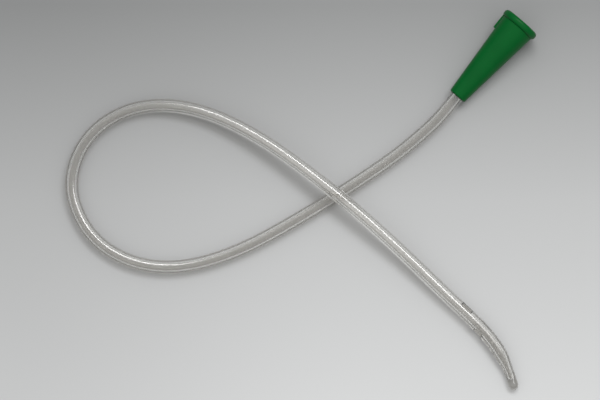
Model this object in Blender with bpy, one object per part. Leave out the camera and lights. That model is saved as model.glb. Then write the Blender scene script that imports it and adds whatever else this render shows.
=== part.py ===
# Intermittent urethral catheter, 14 Ch, male length: a clear PVC tube with a bent
# (coude) closed tip and two side eyes, bonded into a green moulded funnel connector.
# It lies in one open loop on a flat surface, the tip stretch passing over the tube.
# Metres, +Z up. The funnel's mouth faces +X and the surface is z = 0.

import math

import bmesh
import bpy
import numpy as np
from mathutils import Matrix, Vector

# Tube
TUBE_OD = 0.00467
LUMEN_D = 0.0023
TUBE_SIDES = 16
TUBE_STATIONS = 78
TUBE_COLOUR = (0.62, 0.60, 0.56, 1.0)

# Tip: outer diameters, and distances back from its very end
TIP_NECK_D = 0.0033
TIP_BULB_D = 0.0034
TIP_NECK_BACK = 0.0062
TIP_TAPER_BACK = 0.0140
TIP_LUMEN_D = 0.0014
TIP_LUMEN_BACK = 0.0036
TIP_STATIONS = 12
DOME_STATIONS = 5

# Eyes: lengths along the tube, width across it, distances of their middles from the end
EYE_WIDTH = 0.0018
FAR_EYE_LENGTH = 0.0047
FAR_EYE_BACK = 0.0320
FAR_EYE_RISE = math.radians(12)
NEAR_EYE_LENGTH = 0.0039
NEAR_EYE_BACK = 0.0235
NEAR_EYE_RISE = math.radians(17)
EYE_CUT_PAST = 0.0010

# Funnel, measured along its axis from its small end
FUNNEL_LENGTH = 0.0337
FUNNEL_SMALL_D = 0.00632
FUNNEL_TAPER = math.radians(5.35)
FUNNEL_END_ROUND = 0.0007
FUNNEL_SEGMENTS = 32
MOUTH_D = 0.0096
MOUTH_CHAMFER = 0.0003
SOCKET_DEPTH = 0.0090
SOCKET_CLEARANCE = 0.00015
SOCKET_END_GAP = 0.0003
RIM_D = 0.01365
RIM_WIDTH = 0.0026
RIM_ROUND = 0.0011
FUNNEL_COLOUR = (0.008, 0.130, 0.030, 1.0)

# Guide ridge down one side of the cone from the rim, its crest nearly level with the axis
RIDGE_LENGTH = 0.0052
RIDGE_WIDTH = 0.0013
RIDGE_FOOT_PROUD = 0.00068
RIDGE_RIM_PROUD = 0.00036
RIDGE_ROOT = 0.0005

# How it lies
EXIT_X = 0.0429
EXIT_Y = -0.0029
CROSSING_GAP = 0.00035
SURFACE_GAP = 0.00001
LIE = TUBE_OD / 2 + SURFACE_GAP
TIP_LIE = TIP_BULB_D / 2 + SURFACE_GAP
OVER = LIE + TUBE_OD + CROSSING_GAP


# Funnel measures that follow from the driving ones

def cone_radius(along):
    """Outer radius of the funnel's cone at a distance from its small end."""
    return FUNNEL_SMALL_D / 2 + along * math.tan(FUNNEL_TAPER)


def rest_tilt():
    """Tilt of the funnel's axis as it rests on its small end and its rim."""
    run = (FUNNEL_LENGTH - RIM_WIDTH + RIM_ROUND) - FUNNEL_END_ROUND
    rise = RIM_D / 2 - cone_radius(FUNNEL_END_ROUND)
    return math.atan2(rise, run)


TILT = rest_tilt()
AXIS = Vector((math.cos(TILT), 0.0, math.sin(TILT)))
EXIT_Z = cone_radius(FUNNEL_END_ROUND) * math.cos(TILT) - FUNNEL_END_ROUND * math.sin(TILT)
EXIT = Vector((EXIT_X, EXIT_Y, EXIT_Z))
TUBE_START = EXIT + AXIS * (SOCKET_DEPTH - SOCKET_END_GAP)


# The tube's route: x and y of its centre, and its height as a share between the
# height that it lies at and the height that it comes from or climbs to.

LEAD_POINTS = [
    (0.0377, -0.0031, 0.41),
    (0.0323, -0.0031, 0.07),
]
LOOP_POINTS = [
    (0.0254, -0.0025, 0.005),
    (0.0159, -0.0011, 0.0),
    (0.0051, 0.0013, 0.0),
    (-0.0054, 0.0041, 0.0),
    (-0.0158, 0.0071, 0.0),
    (-0.0261, 0.0103, 0.0),
    (-0.0363, 0.0138, 0.0),
    (-0.0457, 0.0177, 0.0),
    (-0.0542, 0.0223, 0.0),
    (-0.0613, 0.0274, 0.0),
    (-0.0673, 0.0336, 0.0),
    (-0.0718, 0.0409, 0.0),
    (-0.0744, 0.0493, 0.0),
    (-0.0746, 0.0583, 0.0),
    (-0.0720, 0.0668, 0.0),
    (-0.0670, 0.0741, 0.0),
    (-0.0597, 0.0790, 0.0),
    (-0.0512, 0.0812, 0.0),
    (-0.0417, 0.0803, 0.01),
    (-0.0325, 0.0761, 0.04),
    (-0.0246, 0.0687, 0.15),
    (-0.0186, 0.0587, 0.31),
    (-0.0144, 0.0463, 0.53),
    (-0.0119, 0.0328, 0.76),
    (-0.0106, 0.0185, 0.93),
    (-0.0099, 0.0047, 1.0),
]
TIP_POINTS = [
    (-0.0096, -0.0086, 0.86),
    (-0.0097, -0.0221, 0.61),
    (-0.0102, -0.0352, 0.41),
    (-0.0107, -0.0471, 0.275),
    (-0.0111, -0.0580, 0.20),
    (-0.0121, -0.0667, 0.155),
    (-0.0142, -0.0739, 0.095),
    (-0.0167, -0.0791, 0.02),
    (-0.01935, -0.0835, 0.0),
]


def route_points():
    """The route from the tube's end in the funnel to the tip."""
    points = [TUBE_START, (TUBE_START + EXIT) / 2, EXIT]
    points += [Vector((x, y, LIE + share * (EXIT_Z - LIE))) for x, y, share in LEAD_POINTS]
    points += [Vector((x, y, LIE + share * (OVER - LIE))) for x, y, share in LOOP_POINTS]
    points += [Vector((x, y, TIP_LIE + share * (OVER - TIP_LIE))) for x, y, share in TIP_POINTS]
    return np.array([tuple(p) for p in points])


class SmoothRoute:
    """A natural cubic spline through points, read by distance along it."""

    SAMPLES = 6000

    def __init__(self, points):
        self.points = points
        chords = np.linalg.norm(np.diff(points, axis=0), axis=1)
        self.knots = np.concatenate([[0.0], np.cumsum(chords)])
        self.bends = self.solve_bends(chords)
        self.samples = np.linspace(0.0, self.knots[-1], self.SAMPLES)
        places = np.array([self.place(t) for t in self.samples])
        steps = np.linalg.norm(np.diff(places, axis=0), axis=1)
        self.distances = np.concatenate([[0.0], np.cumsum(steps)])
        self.length = self.distances[-1]

    def solve_bends(self, chords):
        """Second derivatives at the points, zero at both ends."""
        count = len(self.points)
        system = np.eye(count)
        right = np.zeros((count, 3))
        slopes = np.diff(self.points, axis=0) / chords[:, None]
        for i in range(1, count - 1):
            system[i, i - 1] = chords[i - 1]
            system[i, i] = 2 * (chords[i - 1] + chords[i])
            system[i, i + 1] = chords[i]
            right[i] = 6 * (slopes[i] - slopes[i - 1])
        return np.linalg.solve(system, right)

    def place(self, t):
        i = int(np.clip(np.searchsorted(self.knots, t) - 1, 0, len(self.knots) - 2))
        width = self.knots[i + 1] - self.knots[i]
        a = (self.knots[i + 1] - t) / width
        b = 1 - a
        bend = (a**3 - a) * self.bends[i] + (b**3 - b) * self.bends[i + 1]
        return a * self.points[i] + b * self.points[i + 1] + bend * width**2 / 6

    def at(self, distance):
        """Centre and direction at a distance from the start."""
        t = np.interp(distance, self.distances, self.samples)
        nudge = self.knots[-1] / self.SAMPLES
        before = self.place(max(t - nudge, 0.0))
        after = self.place(min(t + nudge, self.knots[-1]))
        return Vector(self.place(t)), Vector(after - before).normalized()


def ease(share):
    """Smooth step from 0 to 1."""
    share = min(max(share, 0.0), 1.0)
    return share * share * (3 - 2 * share)


def outer_radius(back):
    """The tube's outer radius at a distance back from the tip's end."""
    bulb = TIP_BULB_D / 2
    neck = TIP_NECK_D / 2
    if back < bulb:
        return math.sqrt(max(bulb**2 - (bulb - back)**2, 0.0))
    if back < TIP_NECK_BACK:
        return bulb + (neck - bulb) * ease((back - bulb) / (TIP_NECK_BACK - bulb))
    share = (back - TIP_NECK_BACK) / (TIP_TAPER_BACK - TIP_NECK_BACK)
    return neck + (TUBE_OD / 2 - neck) * ease(share)


def lumen_radius(back):
    """The lumen's radius at a distance back from the tip's end."""
    end = TIP_LUMEN_D / 2
    into = back - TIP_LUMEN_BACK
    if into < end:
        return math.sqrt(max(end**2 - (end - into)**2, 0.0))
    share = (back - TIP_NECK_BACK) / (TIP_TAPER_BACK - TIP_NECK_BACK)
    return end + (LUMEN_D / 2 - end) * ease(share)


# Mesh helpers

def new_object(name, mesh_builder, colour, roughness, parent):
    """A mesh object from a bmesh, with its own Principled material."""
    mesh = bpy.data.meshes.new(name)
    mesh_builder.to_mesh(mesh)
    mesh_builder.free()
    mesh.shade_smooth()
    mesh.set_sharp_from_angle(angle=math.radians(35))
    obj = bpy.data.objects.new(name, mesh)
    bpy.context.scene.collection.objects.link(obj)
    obj.parent = parent
    material = bpy.data.materials.new(name)
    material.use_nodes = True
    shader = material.node_tree.nodes["Principled BSDF"]
    shader.inputs["Base Color"].default_value = colour
    shader.inputs["Roughness"].default_value = roughness
    mesh.materials.append(material)
    return obj


def make_cutter(obj):
    """Mark an object as a shape that only cuts or joins another."""
    obj.hide_render = True
    obj.display_type = "WIRE"


def boolean(target, operand, operation):
    modifier = target.modifiers.new(operand.name, "BOOLEAN")
    modifier.operation = operation
    modifier.solver = "EXACT"
    modifier.object = operand


def ring_frame(centre, along):
    """Axes across the tube: level to its right, and up."""
    right = along.cross(Vector((0.0, 0.0, 1.0))).normalized()
    return right, right.cross(along).normalized()


def add_ring(bm, centre, along, radius):
    right, up = ring_frame(centre, along)
    ring = []
    for i in range(TUBE_SIDES):
        turn = 2 * math.pi * i / TUBE_SIDES
        ring.append(bm.verts.new(centre + (right * math.cos(turn) + up * math.sin(turn)) * radius))
    return ring


def join_rings(bm, first, second):
    for i in range(TUBE_SIDES):
        j = (i + 1) % TUBE_SIDES
        bm.faces.new((first[i], first[j], second[j], second[i]))


def close_ring(bm, ring, apex):
    point = bm.verts.new(apex)
    for i in range(TUBE_SIDES):
        bm.faces.new((ring[i], ring[(i + 1) % TUBE_SIDES], point))


def add_skin(bm, route, radius_at, closed_back):
    """Rings along the route from the funnel to a rounded end, and its first ring."""
    body_end = route.length - TIP_TAPER_BACK
    round_end = radius_at(TIP_NECK_BACK)
    body = np.linspace(0.0, body_end, TUBE_STATIONS)
    taper = np.linspace(body_end, route.length - closed_back - round_end, TIP_STATIONS + 1)[1:]
    angles = np.linspace(0.0, math.pi / 2, DOME_STATIONS + 1)[1:-1]
    dome = route.length - closed_back - round_end * (1 - np.sin(angles))
    rings = []
    for distance in np.concatenate([body, taper, dome]):
        centre, along = route.at(distance)
        rings.append(add_ring(bm, centre, along, radius_at(route.length - distance)))
    for first, second in zip(rings, rings[1:]):
        join_rings(bm, first, second)
    close_ring(bm, rings[-1], route.at(route.length - closed_back)[0])
    return rings[0]


# Catheter tube

def build_tube(route, parent):
    """Hollow tube with an open end in the funnel, a closed bent tip and two eyes."""
    bm = bmesh.new()
    outside = add_skin(bm, route, outer_radius, 0.0)
    inside = add_skin(bm, route, lumen_radius, TIP_LUMEN_BACK)
    join_rings(bm, outside, inside)
    bmesh.ops.recalc_face_normals(bm, faces=bm.faces)
    tube = new_object("catheter_tube", bm, TUBE_COLOUR, 0.15, parent)
    far_eye = build_eye_cutter("far_eye", route, FAR_EYE_BACK, FAR_EYE_LENGTH, -1, FAR_EYE_RISE, parent)
    near_eye = build_eye_cutter("near_eye", route, NEAR_EYE_BACK, NEAR_EYE_LENGTH, 1, NEAR_EYE_RISE, parent)
    boolean(tube, far_eye, "DIFFERENCE")
    boolean(tube, near_eye, "DIFFERENCE")
    return tube


def build_eye_cutter(name, route, back, length, side, rise, parent):
    """A round-ended slot through one wall; side is 1 to the tube's right, -1 to its left."""
    centre, along = route.at(route.length - back)
    right, up = ring_frame(centre, along)
    out = (right * math.cos(rise) - up * math.sin(rise)) * side
    across = out.cross(along)
    half = EYE_WIDTH / 2
    straight = length / 2 - half
    outline = []
    for end in (1, -1):
        for step in range(9):
            turn = math.pi * step / 8 - math.pi / 2
            lengthwise = end * (straight + half * math.cos(turn))
            outline.append((lengthwise, end * half * math.sin(turn)))
    bm = bmesh.new()
    base = [bm.verts.new(centre + along * u + across * v) for u, v in outline]
    floor = bm.faces.new(base)
    walls = bmesh.ops.extrude_face_region(bm, geom=[floor])
    top = [v for v in walls["geom"] if isinstance(v, bmesh.types.BMVert)]
    bmesh.ops.translate(bm, verts=top, vec=out * (TUBE_OD / 2 + EYE_CUT_PAST))
    bmesh.ops.recalc_face_normals(bm, faces=bm.faces)
    cutter = new_object(name, bm, TUBE_COLOUR, 0.5, parent)
    make_cutter(cutter)
    return cutter


# Funnel connector

def funnel_profile():
    """Half section as (radius, distance along the axis), from the socket's lip round the outside."""
    socket = TUBE_OD / 2 + SOCKET_CLEARANCE
    points = [(socket, SOCKET_DEPTH), (socket, 0.0)]
    edge = cone_radius(FUNNEL_END_ROUND)
    points += arc((edge - FUNNEL_END_ROUND, FUNNEL_END_ROUND), FUNNEL_END_ROUND, -90, 0, 4)
    shoulder = FUNNEL_LENGTH - RIM_WIDTH
    points.append((cone_radius(shoulder), shoulder))
    rim = RIM_D / 2 - RIM_ROUND
    points += arc((rim, shoulder + RIM_ROUND), RIM_ROUND, -90, 0, 5)
    points += arc((rim, FUNNEL_LENGTH - RIM_ROUND), RIM_ROUND, 0, 90, 5)
    points.append((MOUTH_D / 2 + MOUTH_CHAMFER, FUNNEL_LENGTH))
    points.append((MOUTH_D / 2, FUNNEL_LENGTH - MOUTH_CHAMFER))
    points.append((LUMEN_D / 2, SOCKET_DEPTH))
    return points


def arc(centre, radius, start, end, steps):
    """Points on an arc in the section, angles in degrees from the radial direction."""
    angles = [math.radians(start + (end - start) * i / steps) for i in range(steps + 1)]
    return [(centre[0] + radius * math.cos(a), centre[1] + radius * math.sin(a)) for a in angles]


def funnel_matrix():
    """Stands the funnel's own +Z on the resting axis, at the tube's exit."""
    turn = Matrix.Rotation(math.pi / 2 - TILT, 4, "Y")
    return Matrix.Translation(EXIT) @ turn


def build_funnel(parent):
    """Turned funnel with a socket, a flared bore and a rounded rim."""
    bm = bmesh.new()
    profile = [bm.verts.new((radius, 0.0, along)) for radius, along in funnel_profile()]
    edges = [bm.edges.new((a, b)) for a, b in zip(profile, profile[1:] + profile[:1])]
    bmesh.ops.spin(
        bm,
        geom=profile + edges,
        cent=(0.0, 0.0, 0.0),
        axis=(0.0, 0.0, 1.0),
        angle=2 * math.pi,
        steps=FUNNEL_SEGMENTS,
        use_merge=True,
        use_normal_flip=False,
        use_duplicate=False,
    )
    bmesh.ops.recalc_face_normals(bm, faces=bm.faces)
    funnel = new_object("funnel_connector", bm, FUNNEL_COLOUR, 0.35, parent)
    funnel.matrix_local = funnel_matrix()
    ridge = build_ridge(parent)
    boolean(funnel, ridge, "UNION")
    return funnel


def build_ridge(parent):
    """The guide ridge, from inside the rim down the +Y side of the cone."""
    top = FUNNEL_LENGTH - RIM_WIDTH + RIM_ROUND / 2
    foot = FUNNEL_LENGTH - RIM_WIDTH - RIDGE_LENGTH
    turn = Matrix.Rotation(math.pi / 2, 4, "Z")
    bm = bmesh.new()
    for vert in bmesh.ops.create_cube(bm, size=1.0)["verts"]:
        along = top if vert.co.z > 0 else foot
        proud = RIDGE_RIM_PROUD if vert.co.z > 0 else RIDGE_FOOT_PROUD
        radius = cone_radius(along) + (proud if vert.co.x > 0 else -RIDGE_ROOT)
        vert.co = turn @ Vector((radius, vert.co.y * RIDGE_WIDTH, along))
    ridge = new_object("guide_ridge", bm, FUNNEL_COLOUR, 0.35, parent)
    ridge.matrix_local = funnel_matrix()
    make_cutter(ridge)
    return ridge


def clear_scene():
    for obj in list(bpy.data.objects):
        bpy.data.objects.remove(obj, do_unlink=True)


def main():
    clear_scene()
    catheter = bpy.data.objects.new("catheter", None)
    bpy.context.scene.collection.objects.link(catheter)
    route = SmoothRoute(route_points())
    build_tube(route, catheter)
    build_funnel(catheter)
    bpy.context.view_layer.update()


main()
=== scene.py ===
import math

import bpy
import numpy as np
from mathutils import Matrix, Vector


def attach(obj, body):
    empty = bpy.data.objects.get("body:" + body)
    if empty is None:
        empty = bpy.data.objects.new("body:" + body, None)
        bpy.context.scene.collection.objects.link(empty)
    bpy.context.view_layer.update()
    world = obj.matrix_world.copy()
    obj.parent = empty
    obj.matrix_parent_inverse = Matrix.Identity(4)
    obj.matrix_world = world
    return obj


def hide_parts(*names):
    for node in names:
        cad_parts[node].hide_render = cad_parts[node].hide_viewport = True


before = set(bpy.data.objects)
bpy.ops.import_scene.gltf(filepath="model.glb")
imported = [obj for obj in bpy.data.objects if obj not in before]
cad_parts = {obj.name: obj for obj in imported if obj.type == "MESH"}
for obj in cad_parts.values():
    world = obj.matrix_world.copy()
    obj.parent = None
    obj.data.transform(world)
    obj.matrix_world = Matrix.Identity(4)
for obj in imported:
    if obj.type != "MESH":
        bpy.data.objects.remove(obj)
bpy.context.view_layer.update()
print("stage: frame loaded")

# A clear 14 Ch catheter with a green funnel, lying in one loop on a pale table.
# Metres, +Z up. The funnel's mouth faces +X, the table is z = 0.


# Small helpers

def srgbToLinear(hexText, alpha=1.0):
    values = [int(hexText[i:i + 2], 16) / 255 for i in (1, 3, 5)]
    linear = [v / 12.92 if v <= 0.04045 else ((v + 0.055) / 1.055) ** 2.4 for v in values]
    return (*linear, alpha)


def addNode(tree, kind, settings=None, links=None):
    node = tree.nodes.new(kind)
    for name, value in (settings or {}).items():
        if name in node.inputs:
            node.inputs[name].default_value = value
        else:
            setattr(node, name, value)
    for name, source in (links or {}).items():
        tree.links.new(source, node.inputs[name])
    return node


def newMaterial(name):
    material = bpy.data.materials.new(name)
    material.use_nodes = True
    material.node_tree.nodes.clear()
    return material, material.node_tree


def deselectAll():
    bpy.ops.object.select_all(action="DESELECT")


def pick(obj):
    deselectAll()
    obj.select_set(True)
    bpy.context.view_layer.objects.active = obj


def ease(share):
    share = min(max(share, 0.0), 1.0)
    return share * share * (3 - 2 * share)


# Camera, at the photograph's angle: nearly straight down, turned against the funnel's axis

view = {
    "aim": (-0.0189, 0.0135, 0.0023),
    "elevation": math.radians(81),
    "turn": math.radians(-138.5),  # where the camera stands, round from +X
    "distance": 2.00,
    "lens": 354.6,
    "sensor": 36,
    "nearest": 0.01,  # what is closer to the camera doesn't show
}


def placeCamera():
    aim = Vector(view["aim"])
    level = Vector((math.cos(view["turn"]), math.sin(view["turn"]), 0))
    away = level * math.cos(view["elevation"]) + Vector((0, 0, math.sin(view["elevation"])))
    bpy.ops.object.camera_add(location=aim + away * view["distance"])
    camera = bpy.context.object
    camera.name = "camera"
    camera.rotation_euler = away.to_track_quat("Z", "Y").to_euler()
    camera.data.lens = view["lens"]
    camera.data.sensor_width = view["sensor"]
    camera.data.clip_start = view["nearest"]
    bpy.context.scene.camera = camera


# Funnel sizes, along its axis from the small end. The tube's exit is at that end.

funnel = {
    "length": 0.0337,
    "smallRadius": 0.00316,
    "taper": math.radians(5.35),
    "endRound": 0.0007,
    "mouthRadius": 0.0048,
    "mouthChamfer": 0.0003,
    "socketDepth": 0.0090,
    "socketClearance": 0.00015,
    "endGap": 0.0003,
    "rimRadius": 0.006825,
    "rimWidth": 0.0026,
    "rimRound": 0.0011,
    "ridgeLength": 0.0052,
    "ridgeWidth": 0.0013,
    "ridgeFoot": 0.00068,  # how proud its crest is at its foot, and at the rim
    "ridgeRim": 0.00036,
    "ridgeRoot": 0.0005,  # how deep it reaches into the cone
    "ridgeSoft": 0.00022,
    "ridgeSoftSteps": 4,
    "exit": (0.0429, -0.0029),
    "sides": 128,
    "endSteps": 8,
    "rimSteps": 10,
    "mergeWithin": 0.000005,
    "smoothAngle": math.radians(32),
}


def coneRadius(along):
    return funnel["smallRadius"] + along * math.tan(funnel["taper"])


def restTilt():
    run = funnel["length"] - funnel["rimWidth"] + funnel["rimRound"] - funnel["endRound"]
    rise = funnel["rimRadius"] - coneRadius(funnel["endRound"])
    return math.atan2(rise, run)


tilt = restTilt()
funnelAxis = Vector((math.cos(tilt), 0, math.sin(tilt)))
exitHeight = coneRadius(funnel["endRound"]) * math.cos(tilt) - funnel["endRound"] * math.sin(tilt)
exitPoint = Vector((*funnel["exit"], exitHeight))


# Tube: extruded clear PVC, its end formed hot into a closed bent tip

tube = {
    "radius": 0.002335,
    "lumenRadius": 0.00115,
    "sides": 60,
    "bodyStep": 0.00068,
    "tipStep": 0.00030,
    "fineTip": 0.040,  # the last stretch, with closer rings
    "domeRings": 12,
    "neckRadius": 0.00165,
    "bulbRadius": 0.0017,
    "neckBack": 0.0062,
    "taperBack": 0.0140,
    "tipLumenRadius": 0.00070,
    "tipLumenBack": 0.0036,
    "satinBack": (0.0283, 0.0268),  # where the gloss turns satin, back from the tip's end
    "domeBack": (0.0045, 0.0030),  # and where it's glossy again
    "crossingGap": 0.00035,
    "surfaceGap": 0.00001,
    "pathStep": 0.002,
    "smoothAngle": math.radians(35),
}
lieHeight = tube["radius"] + tube["surfaceGap"]
tipHeight = tube["bulbRadius"] + tube["surfaceGap"]
overHeight = lieHeight + 2 * tube["radius"] + tube["crossingGap"]

# x, y, and the height as a share between where the tube lies and where it comes from
leadPoints = [
    (0.0377, -0.0031, 0.41),
    (0.0323, -0.0031, 0.07),
]
loopPoints = [
    (0.0254, -0.0025, 0.005),
    (0.0159, -0.0011, 0.0),
    (0.0051, 0.0013, 0.0),
    (-0.0054, 0.0041, 0.0),
    (-0.0158, 0.0071, 0.0),
    (-0.0261, 0.0103, 0.0),
    (-0.0363, 0.0138, 0.0),
    (-0.0457, 0.0177, 0.0),
    (-0.0542, 0.0223, 0.0),
    (-0.0613, 0.0274, 0.0),
    (-0.0673, 0.0336, 0.0),
    (-0.0718, 0.0409, 0.0),
    (-0.0744, 0.0493, 0.0),
    (-0.0746, 0.0583, 0.0),
    (-0.0720, 0.0668, 0.0),
    (-0.0670, 0.0741, 0.0),
    (-0.0597, 0.0790, 0.0),
    (-0.0512, 0.0812, 0.0),
    (-0.0417, 0.0803, 0.01),
    (-0.0325, 0.0761, 0.04),
    (-0.0246, 0.0687, 0.15),
    (-0.0186, 0.0587, 0.31),
    (-0.0144, 0.0463, 0.53),
    (-0.0119, 0.0328, 0.76),
    (-0.0106, 0.0185, 0.93),
    (-0.0099, 0.0047, 1.0),
]
tipPoints = [
    (-0.0096, -0.0086, 0.86),
    (-0.0097, -0.0221, 0.61),
    (-0.0102, -0.0352, 0.41),
    (-0.0107, -0.0471, 0.275),
    (-0.0111, -0.0580, 0.20),
    (-0.0121, -0.0667, 0.155),
    (-0.0142, -0.0739, 0.095),
    (-0.0167, -0.0791, 0.02),
    (-0.01935, -0.0835, 0.0),
]


def routePoints():
    start = exitPoint + funnelAxis * (funnel["socketDepth"] - funnel["endGap"])
    points = [start, (start + exitPoint) / 2, exitPoint]
    points += [Vector((x, y, lieHeight + s * (exitHeight - lieHeight))) for x, y, s in leadPoints]
    points += [Vector((x, y, lieHeight + s * (overHeight - lieHeight))) for x, y, s in loopPoints]
    points += [Vector((x, y, tipHeight + s * (overHeight - tipHeight))) for x, y, s in tipPoints]
    return np.array([tuple(p) for p in points])


def smoothRoute(points, samples=6000):
    # natural cubic spline through the points, returned as places and distances along it
    chords = np.linalg.norm(np.diff(points, axis=0), axis=1)
    knots = np.concatenate([[0.0], np.cumsum(chords)])
    count = len(points)
    system = np.eye(count)
    right = np.zeros((count, 3))
    slopes = np.diff(points, axis=0) / chords[:, None]
    for i in range(1, count - 1):
        system[i, i - 1:i + 2] = chords[i - 1], 2 * (chords[i - 1] + chords[i]), chords[i]
        right[i] = 6 * (slopes[i] - slopes[i - 1])
    bends = np.linalg.solve(system, right)
    t = np.linspace(0.0, knots[-1], samples)
    i = np.clip(np.searchsorted(knots, t) - 1, 0, count - 2)
    width = (knots[i + 1] - knots[i])[:, None]
    a = (knots[i + 1] - t)[:, None] / width
    b = 1 - a
    bend = (a**3 - a) * bends[i] + (b**3 - b) * bends[i + 1]
    places = a * points[i] + b * points[i + 1] + bend * width**2 / 6
    steps = np.linalg.norm(np.diff(places, axis=0), axis=1)
    return places, np.concatenate([[0.0], np.cumsum(steps)])


places, distances = smoothRoute(routePoints())
tubeLength = float(distances[-1])


def placeAt(distance):
    return np.array([np.interp(distance, distances, places[:, k]) for k in range(3)])


def ringFrame(distance):
    nudge = 0.0004
    before = placeAt(max(distance - nudge, 0.0))
    after = placeAt(min(distance + nudge, tubeLength))
    along = Vector(after - before).normalized()
    right = along.cross(Vector((0, 0, 1))).normalized()
    return Vector(placeAt(distance)), along, right, right.cross(along).normalized()


def outerRadius(back):
    bulb, neck = tube["bulbRadius"], tube["neckRadius"]
    if back < bulb:
        return math.sqrt(max(bulb**2 - (bulb - back) ** 2, 0.0))
    if back < tube["neckBack"]:
        return bulb + (neck - bulb) * ease((back - bulb) / (tube["neckBack"] - bulb))
    share = (back - tube["neckBack"]) / (tube["taperBack"] - tube["neckBack"])
    return neck + (tube["radius"] - neck) * ease(share)


def innerRadius(back):
    end = tube["tipLumenRadius"]
    into = back - tube["tipLumenBack"]
    if into < end:
        return math.sqrt(max(end**2 - (end - into) ** 2, 0.0))
    share = (back - tube["neckBack"]) / (tube["taperBack"] - tube["neckBack"])
    return end + (tube["lumenRadius"] - end) * ease(share)


def ringDistances(closedBack, endRadius):
    fineFrom = tubeLength - tube["fineTip"]
    roundFrom = tubeLength - closedBack - endRadius
    body = np.arange(0.0, fineFrom, tube["bodyStep"])
    fine = np.linspace(fineFrom, roundFrom, int((roundFrom - fineFrom) / tube["tipStep"]))
    angles = np.linspace(0.0, math.pi / 2, tube["domeRings"] + 1)[1:-1]
    dome = tubeLength - closedBack - endRadius * (1 - np.sin(angles))
    return np.concatenate([body, fine, dome])


def addSkin(build, radiusAt, closedBack, endRadius):
    # rings from the open end to a rounded closed end; returns the first ring's number
    sides = tube["sides"]
    turns = [2 * math.pi * i / sides for i in range(sides)]
    first = len(build["points"])
    stations = ringDistances(closedBack, endRadius)
    for distance in stations:
        centre, along, right, up = ringFrame(distance)
        radius = radiusAt(tubeLength - distance)
        ring = [right * math.cos(a) + up * math.sin(a) for a in turns]
        build["points"] += [centre + spoke * radius for spoke in ring]
    girth = 2 * math.pi * radiusAt(tube["fineTip"])
    for k in range(len(stations) - 1):
        for i in range(sides):
            j = (i + 1) % sides
            low, high = first + k * sides, first + (k + 1) * sides
            build["faces"].append((low + i, low + j, high + j, high + i))
            near, far = stations[k], stations[k + 1]
            left, wide = girth * i / sides, girth * (i + 1) / sides
            build["uvs"] += [(near, left), (near, wide), (far, wide), (far, left)]
    pole = len(build["points"])
    build["points"].append(Vector(placeAt(tubeLength - closedBack)))
    last = pole - sides
    for i in range(sides):
        build["faces"].append((last + i, last + (i + 1) % sides, pole))
        build["uvs"] += [(stations[-1], girth * i / sides)] * 3
    return first


def modelTube():
    build = {"points": [], "faces": [], "uvs": []}
    sides = tube["sides"]
    outside = addSkin(build, outerRadius, 0.0, tube["bulbRadius"])
    inside = addSkin(build, innerRadius, tube["tipLumenBack"], tube["tipLumenRadius"])
    for i in range(sides):
        j = (i + 1) % sides
        build["faces"].append((outside + i, inside + i, inside + j, outside + j))
        build["uvs"] += [(0.0, 0.0)] * 4
    mesh = bpy.data.meshes.new("catheterTube")
    mesh.from_pydata([tuple(p) for p in build["points"]], [], build["faces"])
    layer = mesh.uv_layers.new(name="alongTube")
    layer.data.foreach_set("uv", np.array(build["uvs"]).ravel())
    piece = bpy.data.objects.new("catheterTube", mesh)
    bpy.context.scene.collection.objects.link(piece)
    pick(piece)
    bpy.ops.object.mode_set(mode="EDIT")
    bpy.ops.mesh.select_all(action="SELECT")
    bpy.ops.mesh.normals_make_consistent(inside=False)
    bpy.ops.object.mode_set(mode="OBJECT")
    return piece


# Eyes: round-ended slots through one wall, one on each side

eyes = {  # back is from the tip's end to the eye's middle
    "farEye": {"back": 0.0320, "length": 0.0047, "side": -1, "rise": math.radians(12)},
    "nearEye": {"back": 0.0235, "length": 0.0039, "side": 1, "rise": math.radians(17)},
    "width": 0.0018,
    "past": 0.0010,  # how far the cutter reaches past the tube's outside
    "sides": 48,
}


def cutEye(piece, name):
    eye = eyes[name]
    centre, along, right, up = ringFrame(tubeLength - eye["back"])
    out = (right * math.cos(eye["rise"]) - up * math.sin(eye["rise"])) * eye["side"]
    across = out.cross(along)
    half = eyes["width"] / 2
    straight = eye["length"] / 2 - half
    depth = tube["radius"] + eyes["past"]
    deselectAll()
    bpy.ops.mesh.primitive_cylinder_add(vertices=eyes["sides"], radius=half, depth=depth)
    cutter = bpy.context.object
    for vert in cutter.data.vertices:  # pull the round bar out into a slot
        if abs(vert.co.x) > 1e-7:
            vert.co.x += math.copysign(straight, vert.co.x)
        vert.co.z += depth / 2
    turn = Matrix((along, across, out)).transposed().to_4x4()
    cutter.matrix_world = Matrix.Translation(centre) @ turn
    pick(piece)
    cut = piece.modifiers.new(name, "BOOLEAN")
    cut.operation = "DIFFERENCE"
    cut.solver = "EXACT"
    cut.object = cutter
    bpy.ops.object.modifier_apply(modifier=cut.name)
    bpy.data.objects.remove(cutter, do_unlink=True)


def markSatin(piece):
    # formed is 1 from the eyes to the end, and satin is that without the glossy dome
    data = piece.data
    start, end = tube["satinBack"]
    domeStart, domeEnd = tube["domeBack"]
    uvs = np.zeros(len(data.loops) * 2)
    data.uv_layers["alongTube"].data.foreach_get("uv", uvs)
    verts = np.zeros(len(data.loops), dtype=int)
    data.loops.foreach_get("vertex_index", verts)
    alongs = np.zeros(len(data.vertices))
    alongs[verts] = uvs[0::2]
    backs = tubeLength - alongs
    formed = np.clip((backs - start) / (end - start), 0, 1)
    dome = np.clip((backs - domeStart) / (domeEnd - domeStart), 0, 1)
    for name, values in (("satin", formed * (1 - dome)), ("formed", formed)):
        attribute = data.attributes.new(name, "FLOAT", "POINT")
        attribute.data.foreach_set("value", values)


# Clear plasticised PVC: water-clear and faintly warm, glossy from the extruder's die,
# and satin where the tip was formed

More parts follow.
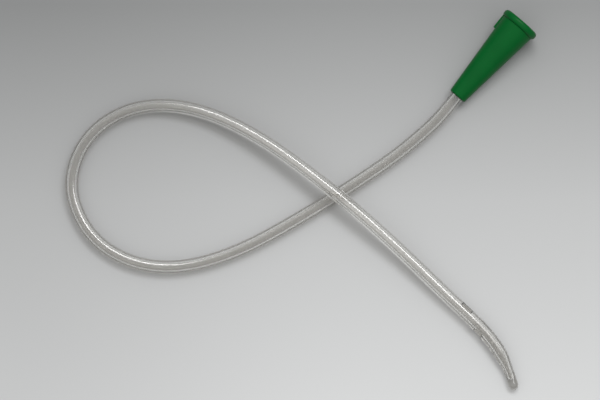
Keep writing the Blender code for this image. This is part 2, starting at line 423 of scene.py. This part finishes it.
clearPvc = {
    "colour": "#F8F7F4",
    "ior": 1.53,
    "clearness": 0.965,  # the rest is the plasticiser's slight milkiness
    "gloss": 0.045,
    "satin": 0.20,
    "sheen": 0.16,  # the plasticiser's film on the outside, softer than the wall's own gloss
    "lampPass": "#D9D8D6",  # what each wall lets through to the table below it
    "tipPass": "#C9C8C6",  # the thick tip bends more of it away
}


def makeClearPvc():
    material, tree = newMaterial("clearPlasticisedPvc")
    satin = addNode(tree, "ShaderNodeAttribute", {"attribute_name": "satin"})
    rough = addNode(tree, "ShaderNodeMapRange", {
        "To Min": clearPvc["gloss"],
        "To Max": clearPvc["satin"],
    }, {"Value": satin.outputs["Fac"]})
    side = addNode(tree, "ShaderNodeNewGeometry")
    bare = addNode(tree, "ShaderNodeMath", {"operation": "MAXIMUM"})
    tree.links.new(side.outputs["Backfacing"], bare.inputs[0])
    tree.links.new(satin.outputs["Fac"], bare.inputs[1])
    film = addNode(tree, "ShaderNodeMath", {"operation": "SUBTRACT"})
    film.inputs[0].default_value = 1.0
    tree.links.new(bare.outputs["Value"], film.inputs[1])
    shader = addNode(tree, "ShaderNodeBsdfPrincipled", {
        "Base Color": srgbToLinear(clearPvc["colour"]),
        "IOR": clearPvc["ior"],
        "Transmission Weight": clearPvc["clearness"],
        "Coat Roughness": clearPvc["sheen"],
        "Coat IOR": clearPvc["ior"],
    }, {"Roughness": rough.outputs["Result"], "Coat Weight": film.outputs["Value"]})
    path = addNode(tree, "ShaderNodeLightPath")
    either = addNode(tree, "ShaderNodeMath", {"operation": "MAXIMUM"})
    tree.links.new(path.outputs["Is Shadow Ray"], either.inputs[0])
    tree.links.new(path.outputs["Is Diffuse Ray"], either.inputs[1])
    formed = addNode(tree, "ShaderNodeAttribute", {"attribute_name": "formed"})
    passed = addNode(tree, "ShaderNodeMix", {"data_type": "RGBA"})
    passed.inputs[6].default_value = srgbToLinear(clearPvc["lampPass"])
    passed.inputs[7].default_value = srgbToLinear(clearPvc["tipPass"])
    tree.links.new(formed.outputs["Fac"], passed.inputs["Factor"])
    through = addNode(tree, "ShaderNodeBsdfTransparent", {}, {"Color": passed.outputs[2]})
    blend = addNode(tree, "ShaderNodeMixShader", {}, {"Fac": either.outputs["Value"]})
    tree.links.new(shader.outputs["BSDF"], blend.inputs[1])
    tree.links.new(through.outputs["BSDF"], blend.inputs[2])
    addNode(tree, "ShaderNodeOutputMaterial", {}, {"Surface": blend.outputs["Shader"]})
    return material


# Funnel: turned from its outline, with the guide ridge joined on

def arcPoints(centre, radius, start, end, steps):
    angles = [math.radians(start + (end - start) * i / steps) for i in range(steps + 1)]
    return [(centre[0] + radius * math.cos(a), centre[1] + radius * math.sin(a)) for a in angles]


def funnelOutline():
    # radius and height of its corners, from the bottom of the socket round to the bore
    endRound, rimRound = funnel["endRound"], funnel["rimRound"]
    socket = tube["radius"] + funnel["socketClearance"]
    edge = coneRadius(endRound) - endRound
    shoulder = funnel["length"] - funnel["rimWidth"]
    rim = funnel["rimRadius"] - rimRound
    points = [(socket, funnel["socketDepth"]), (socket, 0.0)]
    points += arcPoints((edge, endRound), endRound, -90, 0, funnel["endSteps"])
    points.append((coneRadius(shoulder), shoulder))
    points += arcPoints((rim, shoulder + rimRound), rimRound, -90, 0, funnel["rimSteps"])
    points += arcPoints((rim, funnel["length"] - rimRound), rimRound, 0, 90, funnel["rimSteps"])
    points.append((funnel["mouthRadius"] + funnel["mouthChamfer"], funnel["length"]))
    points.append((funnel["mouthRadius"], funnel["length"] - funnel["mouthChamfer"]))
    points.append((tube["lumenRadius"], funnel["socketDepth"]))
    return points


def modelFunnel():
    outline = funnelOutline()
    radius, height = outline[0]
    deselectAll()
    bpy.ops.mesh.primitive_circle_add(vertices=funnel["sides"], radius=radius,
                                      location=(0, 0, height))
    piece = bpy.context.object
    piece.name = piece.data.name = "funnelConnector"
    bpy.ops.object.transform_apply(location=True, rotation=True, scale=True)
    bpy.ops.object.mode_set(mode="EDIT")
    bpy.ops.mesh.select_all(action="SELECT")
    for nextRadius, nextHeight in outline[1:] + outline[:1]:
        rise = (0, 0, nextHeight - height)
        bpy.ops.mesh.extrude_region_move(TRANSFORM_OT_translate={"value": rise})
        grow = nextRadius / radius
        bpy.ops.transform.resize(value=(grow, grow, 1), center_override=(0, 0, nextHeight))
        radius, height = nextRadius, nextHeight
    bpy.ops.mesh.select_all(action="SELECT")
    bpy.ops.mesh.remove_doubles(threshold=funnel["mergeWithin"])
    bpy.ops.mesh.normals_make_consistent(inside=False)
    bpy.ops.object.mode_set(mode="OBJECT")
    joinRidge(piece)
    piece.rotation_euler = (0, math.pi / 2 - tilt, 0)
    piece.location = exitPoint
    pick(piece)
    bpy.ops.object.transform_apply(location=True, rotation=True, scale=True)
    bpy.ops.object.shade_smooth_by_angle(angle=funnel["smoothAngle"])
    return piece


def joinRidge(piece):
    top = funnel["length"] - funnel["rimWidth"] + funnel["rimRound"] / 2
    foot = funnel["length"] - funnel["rimWidth"] - funnel["ridgeLength"]
    deselectAll()
    bpy.ops.mesh.primitive_cube_add(size=1)
    ridge = bpy.context.object
    for vert in ridge.data.vertices:
        along = top if vert.co.z > 0 else foot
        proud = funnel["ridgeRim"] if vert.co.z > 0 else funnel["ridgeFoot"]
        out = proud if vert.co.x > 0 else -funnel["ridgeRoot"]
        vert.co = (coneRadius(along) + out, vert.co.y * funnel["ridgeWidth"], along)
    rounding = ridge.modifiers.new("soft edges", "BEVEL")
    rounding.width = funnel["ridgeSoft"]
    rounding.segments = funnel["ridgeSoftSteps"]
    bpy.ops.object.modifier_apply(modifier=rounding.name)
    ridge.rotation_euler = (0, 0, math.pi / 2)
    pick(piece)
    join = piece.modifiers.new("ridge", "BOOLEAN")
    join.operation = "UNION"
    join.solver = "EXACT"
    join.object = ridge
    bpy.ops.object.modifier_apply(modifier=join.name)
    bpy.data.objects.remove(ridge, do_unlink=True)


# Moulded green PVC: coloured through, satin from the mould's fine spark finish

greenPvc = {
    "colour": "#006327",
    "dark": "#005622",
    "ior": 1.53,
    "specular": 0.12,
    "roughness": 0.34,
    "sparkGrain": 0.00012,
    "grainDetail": 3.0,
    "grainDepth": 0.000004,
    "cloudScale": 160.0,  # pigment clouds about 6 mm wide
    "cloudDetail": 2.0,
}


def makeGreenPvc():
    material, tree = newMaterial("mouldedGreenPvc")
    coords = addNode(tree, "ShaderNodeTexCoord")
    grain = addNode(tree, "ShaderNodeTexNoise", {
        "Scale": 1 / greenPvc["sparkGrain"],
        "Detail": greenPvc["grainDetail"],
    }, {"Vector": coords.outputs["Object"]})
    cloud = addNode(tree, "ShaderNodeTexNoise", {
        "Scale": greenPvc["cloudScale"],
        "Detail": greenPvc["cloudDetail"],
    }, {"Vector": coords.outputs["Object"]})
    colour = addNode(tree, "ShaderNodeMix", {"data_type": "RGBA"})
    colour.inputs[6].default_value = srgbToLinear(greenPvc["colour"])
    colour.inputs[7].default_value = srgbToLinear(greenPvc["dark"])
    tree.links.new(cloud.outputs["Fac"], colour.inputs["Factor"])
    bump = addNode(tree, "ShaderNodeBump", {"Strength": 1.0, "Distance": greenPvc["grainDepth"]},
                   {"Height": grain.outputs["Fac"]})
    shader = addNode(tree, "ShaderNodeBsdfPrincipled", {
        "IOR": greenPvc["ior"],
        "Specular IOR Level": greenPvc["specular"],
        "Roughness": greenPvc["roughness"],
    }, {"Base Color": colour.outputs[2], "Normal": bump.outputs["Normal"]})
    addNode(tree, "ShaderNodeOutputMaterial", {}, {"Surface": shader.outputs["BSDF"]})
    return material


# Table, lamp and room

table = {
    "size": 3.0,
    # painted shade: near, middle and far run from lighter at the view's bottom to darker at its top,
    # standing in for the light falling off across the table
    "near": "#DCDDDD",
    "middle": "#C6C7C7",
    "far": "#9A9B9B",
    "span": 0.135,  # the view's height on the table
    "leftShade": 0.84,  # the light falls off towards the view's left
    "shadeFrom": 0.105,
    "shadeTo": -0.030,
    "roughness": 0.9,
    "specular": 0.2,
}


def makeTable():
    deselectAll()
    bpy.ops.mesh.primitive_plane_add(size=table["size"], location=(0, 0, 0))
    floor = bpy.context.object
    floor.name = floor.data.name = "table"
    material, tree = newMaterial("mattPaleLaminate")
    coords = addNode(tree, "ShaderNodeTexCoord")
    upTurn = view["turn"] + math.pi
    place = addNode(tree, "ShaderNodeMapping", {
        "vector_type": "TEXTURE",
        "Location": view["aim"],
        "Rotation": (0, 0, upTurn),
    }, {"Vector": coords.outputs["Object"]})
    parts = addNode(tree, "ShaderNodeSeparateXYZ", {}, {"Vector": place.outputs["Vector"]})
    share = addNode(tree, "ShaderNodeMapRange", {
        "From Min": -table["span"] / 2,
        "From Max": table["span"] / 2,
    }, {"Value": parts.outputs["X"]})
    # painted shade: the table's colour darkens from the view's bottom to its top, where the light falls
    # off
    ramp = addNode(tree, "ShaderNodeValToRGB", {}, {"Fac": share.outputs["Result"]})
    ramp.color_ramp.elements[0].color = srgbToLinear(table["near"])
    ramp.color_ramp.elements[1].color = srgbToLinear(table["far"])
    middle = ramp.color_ramp.elements.new(0.5)
    middle.color = srgbToLinear(table["middle"])
    # painted shade: darker towards the view's left, where the light falls off
    fall = addNode(tree, "ShaderNodeMapRange", {
        "interpolation_type": "SMOOTHSTEP",
        "From Min": table["shadeFrom"],
        "From Max": table["shadeTo"],
        "To Min": table["leftShade"],
        "To Max": 1.0,
    }, {"Value": parts.outputs["Y"]})
    shaded = addNode(tree, "ShaderNodeVectorMath", {"operation": "SCALE"},
                     {"Vector": ramp.outputs["Color"], "Scale": fall.outputs["Result"]})
    shader = addNode(tree, "ShaderNodeBsdfPrincipled", {
        "Roughness": table["roughness"],
        "Specular IOR Level": table["specular"],
    }, {"Base Color": shaded.outputs["Vector"]})
    addNode(tree, "ShaderNodeOutputMaterial", {}, {"Surface": shader.outputs["BSDF"]})
    floor.data.materials.append(material)
    return floor


lamp = {
    "distance": 2.0,
    "turn": math.radians(14.0),  # round from +X
    "elevation": math.radians(62.0),
    "width": 1.40,
    "height": 0.60,
    "radiance": 7.4,
}
room = {  # a dark studio with pale light from above
    "low": 0.15,
    "high": 0.75,
    "dark": 0.20,
    "bright": 0.67,
}


def placeLight():
    aim = Vector(view["aim"])
    level = Vector((math.cos(lamp["turn"]), math.sin(lamp["turn"]), 0))
    away = level * math.cos(lamp["elevation"]) + Vector((0, 0, math.sin(lamp["elevation"])))
    bpy.ops.object.light_add(type="AREA", location=aim + away * lamp["distance"])
    light = bpy.context.object
    light.name = "softbox"
    light.rotation_euler = away.to_track_quat("Z", "Y").to_euler()
    light.data.shape = "RECTANGLE"
    light.data.size = lamp["width"]
    light.data.size_y = lamp["height"]
    light.data.energy = lamp["radiance"] * math.pi * lamp["width"] * lamp["height"]
    light.visible_transmission = False  # its sheen stays on the outside of the clear wall
    world = bpy.data.worlds.new("room")
    world.use_nodes = True
    tree = world.node_tree
    tree.nodes.clear()
    coords = addNode(tree, "ShaderNodeTexCoord")
    parts = addNode(tree, "ShaderNodeSeparateXYZ", {}, {"Vector": coords.outputs["Generated"]})
    glow = addNode(tree, "ShaderNodeMapRange", {
        "interpolation_type": "SMOOTHSTEP",
        "From Min": room["low"],
        "From Max": room["high"],
        "To Min": room["dark"],
        "To Max": room["bright"],
    }, {"Value": parts.outputs["Z"]})
    back = addNode(tree, "ShaderNodeBackground", {"Color": (1, 1, 1, 1)},
                   {"Strength": glow.outputs["Result"]})
    addNode(tree, "ShaderNodeOutputWorld", {}, {"Surface": back.outputs["Background"]})
    bpy.context.scene.world = world


placeCamera()
print("stage: camera placed")

catheterTube = modelTube()
cutEye(catheterTube, "farEye")
cutEye(catheterTube, "nearEye")
markSatin(catheterTube)
pick(catheterTube)
bpy.ops.object.shade_smooth_by_angle(angle=tube["smoothAngle"])
catheterTube.data.materials.clear()
catheterTube.data.materials.append(makeClearPvc())
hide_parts("catheter_tube")
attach(catheterTube, "root")
print("stage: tube made,", round(tubeLength * 1000, 1), "mm,", len(catheterTube.data.polygons), "faces")

funnelConnector = modelFunnel()
funnelConnector.data.materials.clear()
funnelConnector.data.materials.append(makeGreenPvc())
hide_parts("funnel_connector")
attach(funnelConnector, "root")
print("stage: funnel made,", len(funnelConnector.data.polygons), "faces")

makeTable()
placeLight()
bpy.context.scene.view_settings.view_transform = "Standard"
print("stage: table and light placed")
